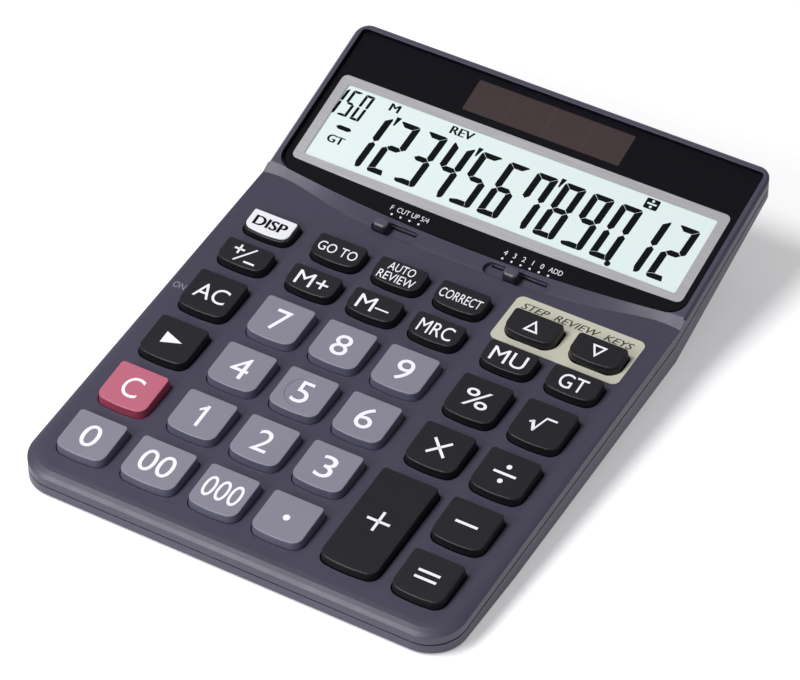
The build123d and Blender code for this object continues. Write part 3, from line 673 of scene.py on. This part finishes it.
windowLook = {
    "side": 67.75, "back": 93.25, "bowEnds": 42.0, "bowMiddle": 37.65, "corner": 5.4, "backCorner": 1.5,
    "frameSide": 65.5, "frameEnds": 46.0, "frameMiddle": 44.9, "frameBack": 77.5, "frameCorner": 1.9,
    "cellSide": 26.5, "cellFront": 80.0, "cellBack": 91.2, "depth": 1.36, "rim": 1.19,
}


def bowedOutline(side, ends, middle, back, frontRadius, backRadius):
    # rounded outline whose front edge bows towards the user; added points keep the bow smooth
    outline = roundedOutline(-side, side, middle, back, backRadius, frontRadius)
    steps = 24
    half = side - frontRadius
    outline += [(-half + 2 * half * i / steps, middle) for i in range(1, steps)]
    halfway = (middle + back) / 2
    return [(x, y + (ends - middle) * (x / side) ** 2 if y < halfway else y) for x, y in outline]


def backPrint(look):
    outer = bowedOutline(look["side"], alongDisplay(look["bowEnds"]), alongDisplay(look["bowMiddle"]),
                         alongDisplay(look["back"]), look["corner"], look["backCorner"])
    frameHole = bowedOutline(look["frameSide"], alongDisplay(look["frameEnds"]),
                             alongDisplay(look["frameMiddle"]), alongDisplay(look["frameBack"]),
                             look["frameCorner"], look["frameCorner"])
    cellHole = roundedOutline(-look["cellSide"], look["cellSide"], alongDisplay(look["cellFront"]),
                              alongDisplay(look["cellBack"]), 0.5)
    openSheet("window_back_print", displayPlane, -look["depth"], [outer, frameHole, cellHole], panelInk,
              "case", rim=look["rim"])


backPrint(windowLook)

# seven-segment figures: which segments each figure lights, top a, then clockwise b c d e f, middle g
litSegments = {
    "0": "abcdef", "1": "bc", "2": "abged", "3": "abgcd", "4": "fgbc", "5": "afgcd", "6": "afgedc",
    "7": "abcf", "8": "abcdefg", "9": "abfgcd",
}


def figure(s, digit, left, base, shape):
    # one seven-segment figure; its outer corners are rounded and its strokes nearly touch
    wide, tall, lean = shape["wide"], shape["tall"], shape["lean"]
    stem, bar, gap, turn = shape["stem"], shape["bar"], shape["gap"], shape["turn"]
    half, tip, cut = tall / 2, stem / 2, bar * 0.65

    def arc(x, y, start, end):
        turns = [math.radians(start + (end - start) * i / 4) for i in range(5)]
        return [(x + turn * math.cos(t), y + turn * math.sin(t)) for t in turns]

    upright = arc(wide - turn, tall - turn - gap, 45, 0) + [
        (wide, half + tip * 0.8), (wide - tip, half + gap * 0.7), (wide - stem, half + tip),
        (wide - stem, tall - bar - gap)]
    roof = arc(turn, tall - turn, 135, 90) + arc(wide - turn, tall - turn, 90, 45) + [
        (wide - stem, tall - bar), (stem, tall - bar)]
    strokes = {
        "a": [(wide / 2 + (x - wide / 2) * (1 - 2 * gap / wide), y) for x, y in roof],
        "b": upright,
        "f": [(wide - x, y) for x, y in upright],
        "g": [(tip + gap, half), (stem + gap, half + bar / 2), (wide - stem - gap, half + bar / 2),
              (wide - tip - gap, half), (wide - stem - gap, half - bar / 2), (stem + gap, half - bar / 2)],
        "e": [(0, cut + gap), (0, half - tip * 0.8), (tip, half - gap * 0.7), (stem, half - tip),
              (stem, bar + gap * 1.3)],
        "d": [(0, cut), (stem, bar), (wide - stem - gap, bar), (wide - stem * 0.7 - gap, 0)]
             + arc(turn, turn, -90, -180),
        "c": [(wide - stem, bar), (wide - stem, half - tip), (wide - tip, half - gap * 0.7),
              (wide, half - tip * 0.8)] + arc(wide - turn, turn, 0, -90) + [(wide - stem * 0.7, 0)],
    }
    for name in litSegments[digit]:
        s.polygon([(left + x + y * lean, base + y) for x, y in strokes[name]])


displayLook = {
    "firstLeft": -51.75, "pitch": 9.37, "base": 50.5, "bold": 0.16,
    "large": {"wide": 7.1, "tall": 20.0, "lean": 0.06, "stem": 2.2, "bar": 1.85, "gap": 0.09, "turn": 1.1},
    "smallLeft": -64.9, "smallPitch": 4.3, "smallBase": 64.3,
    "small": {"wide": 3.2, "tall": 9.9, "lean": 0.07, "stem": 0.95, "bar": 0.85, "gap": 0.06, "turn": 0.45},
    "ticks": (-42.6, -14.5, 13.6), "tickTop": 70.35, "tickTall": 3.3,
}


def displayPicture(look):
    s = Stencil()
    for place, digit in enumerate("123456789012"):
        figure(s, digit, look["firstLeft"] + place * look["pitch"], alongDisplay(look["base"]), look["large"])
    for place, digit in enumerate("150"):
        figure(s, digit, look["smallLeft"] + place * look["smallPitch"], alongDisplay(look["smallBase"]),
               look["small"])
    s.disc(39.45, alongDisplay(49.9), 0.95)
    for x in look["ticks"]:
        top = alongDisplay(look["tickTop"])
        low = top - look["tickTall"]
        s.polygon([(x - 0.15, low), (x + 0.3, low), (x + 1.3, top), (x - 0.35, top)])
    minus = alongDisplay(60.65)
    s.polygon([(-58.6, minus), (-57.6, minus - 0.75), (-54.2, minus - 0.75), (-53.2, minus),
               (-54.2, minus + 0.75), (-57.6, minus + 0.75)])
    s.words("M", -45.2, alongDisplay(72.75), 2.8, 3.4, bold=look["bold"])
    s.words("REV", -22.0, alongDisplay(72.75), 2.8, 7.8, bold=look["bold"])
    s.words("GT", -56.1, alongDisplay(56.3), 2.8, 5.6, bold=look["bold"])
    s.lay("display_figures", displayPlane, -1.885, segmentInk, "case", 0)
    # division sign let out of a dark box
    y = alongDisplay(72.55)
    box = Stencil()
    box.polygon(roundedOutline(39.6, 44.0, y - 1.9, y + 1.8, 0.5))
    box.lay("display_sign_box", displayPlane, -1.885, segmentInk, "case", 0)
    sign = Stencil()
    sign.bar(40.3, y, 43.3, y, 0.55)
    sign.disc(41.8, y + 1.05, 0.45, 14)
    sign.disc(41.8, y - 1.05, 0.45, 14)
    sign.lay("display_sign", displayPlane, -1.875, finishes["lcd"], "case", 0)


displayPicture(displayLook)


scaleLook = {
    "leftDots": -27.0, "rightDots": 10.7, "pitch": 3.03, "leftDotY": 39.95, "rightDotY": 39.35, "dot": 0.36,
    "rightMarks": "43210", "lift": -1.352,
}


def selectorScales(look):
    s = Stencil()
    for i in range(4):
        s.disc(look["leftDots"] + i * look["pitch"], alongDisplay(look["leftDotY"]), look["dot"], 14)
    for i in range(6):
        s.disc(look["rightDots"] + i * look["pitch"], alongDisplay(look["rightDotY"]), look["dot"], 14)
    s.words("F  CUT UP 5/4", -21.95, alongDisplay(42.0), 1.7, 12.8)
    for i, mark in enumerate(look["rightMarks"]):
        s.words(mark, look["rightDots"] + i * look["pitch"], alongDisplay(41.45), 1.7)
    s.words("ADD", 27.3, alongDisplay(41.45), 1.7, 4.4)
    s.lay("selector_scale", displayPlane, look["lift"], whiteInk, "case", 0)


selectorScales(scaleLook)
print("display and scales printed")

# floor, lights, camera
floorLook = {"size": 3.0, "steps": 12, "colour": tint(247, 247, 248), "shade": tint(244, 244, 246),
             "glow": 0.34}


def makeFloor(look):
    build = bmesh.new()
    half, steps = look["size"] / 2, look["steps"]
    grid = [[build.verts.new((-half + look["size"] * i / steps, -half + look["size"] * j / steps, 0))
             for j in range(steps + 1)] for i in range(steps + 1)]
    for i in range(steps):
        for j in range(steps):
            build.faces.new((grid[i][j], grid[i + 1][j], grid[i + 1][j + 1], grid[i][j + 1]))
    mesh = bpy.data.meshes.new("table_top")
    build.to_mesh(mesh)
    build.free()
    f = Finish("paleTable")
    cloud = f.noise(3.0, 4.0)
    white = f.blend(cloud, look["colour"], look["shade"])
    mesh.materials.append(f.skin(Base_Color=white, Roughness=0.75 + (cloud - 0.5) * 0.1,
                                 Emission_Color=white, Emission_Strength=look["glow"]))
    floor = bpy.data.objects.new("table_top", mesh)
    bpy.context.scene.collection.objects.link(floor)


makeFloor(floorLook)

lightLook = {
    "horizon": 0.5, "zenith": 0.24, "horizonEnds": 0.05, "zenithStarts": 0.55,
    "softboxes": [
        # where from, aimed at the middle, size in metres, watts
        {"name": "overheadSoftbox", "at": (-0.45, -0.34, 1.07), "size": 0.5, "power": 9.0},
        {"name": "frontSoftbox", "at": (-0.4, -0.9, 0.62), "size": 0.5, "power": 5.0},
    ],
}


def makeLights(look):
    world = bpy.data.worlds.new("studio")
    bpy.context.scene.world = world
    world.use_nodes = True
    tree = world.node_tree
    way = tree.nodes.new("ShaderNodeTexCoord")
    split = tree.nodes.new("ShaderNodeSeparateXYZ")
    ramp = tree.nodes.new("ShaderNodeValToRGB")
    ramp.color_ramp.elements[0].color = (look["horizon"],) * 3 + (1,)
    ramp.color_ramp.elements[1].color = (look["zenith"],) * 3 + (1,)
    ramp.color_ramp.elements[0].position = look["horizonEnds"]
    ramp.color_ramp.elements[1].position = look["zenithStarts"]
    tree.links.new(way.outputs["Generated"], split.inputs[0])
    tree.links.new(split.outputs["Z"], ramp.inputs[0])
    tree.links.new(ramp.outputs[0], tree.nodes["Background"].inputs["Color"])
    for box in look["softboxes"]:
        light = bpy.data.lights.new(box["name"], "AREA")
        light.shape = "DISK"
        light.size = box["size"]
        light.energy = box["power"]
        lamp = bpy.data.objects.new(box["name"], light)
        lamp.location = box["at"]
        lamp.rotation_mode = "QUATERNION"
        lamp.rotation_quaternion = (Vector((0, 0, 0.02)) - Vector(box["at"])).to_track_quat("-Z", "Y")
        bpy.context.scene.collection.objects.link(lamp)


makeLights(lightLook)

cameraLook = {
    "round": 30.62, "up": 42.38, "roll": -0.23, "target": (3.7, -7.0, 18.2),
    "distance": 1210.6, "lens": 191.8, "sensor": 36, "near": 0.05, "far": 20,
}


def makeCamera(look):
    turn, rise = math.radians(look["round"]), math.radians(look["up"])
    ahead = Vector((-math.sin(turn) * math.cos(rise), math.cos(turn) * math.cos(rise), -math.sin(rise)))
    right = Vector((math.cos(turn), math.sin(turn), 0))
    above = right.cross(ahead)
    tip = math.radians(look["roll"])
    rightTipped = right * math.cos(tip) + above * math.sin(tip)
    aboveTipped = above * math.cos(tip) - right * math.sin(tip)
    data = bpy.data.cameras.new("studioCamera")
    data.lens = look["lens"]
    data.sensor_width = look["sensor"]
    data.clip_start, data.clip_end = look["near"], look["far"]
    camera = bpy.data.objects.new("studioCamera", data)
    pose = Matrix((rightTipped, aboveTipped, -ahead)).transposed().to_4x4()
    pose.translation = (Vector(look["target"]) - ahead * look["distance"]) * mm
    camera.matrix_world = pose
    bpy.context.scene.collection.objects.link(camera)
    bpy.context.scene.camera = camera


makeCamera(cameraLook)
bpy.context.scene.view_settings.view_transform = "Standard"
print("studio ready")
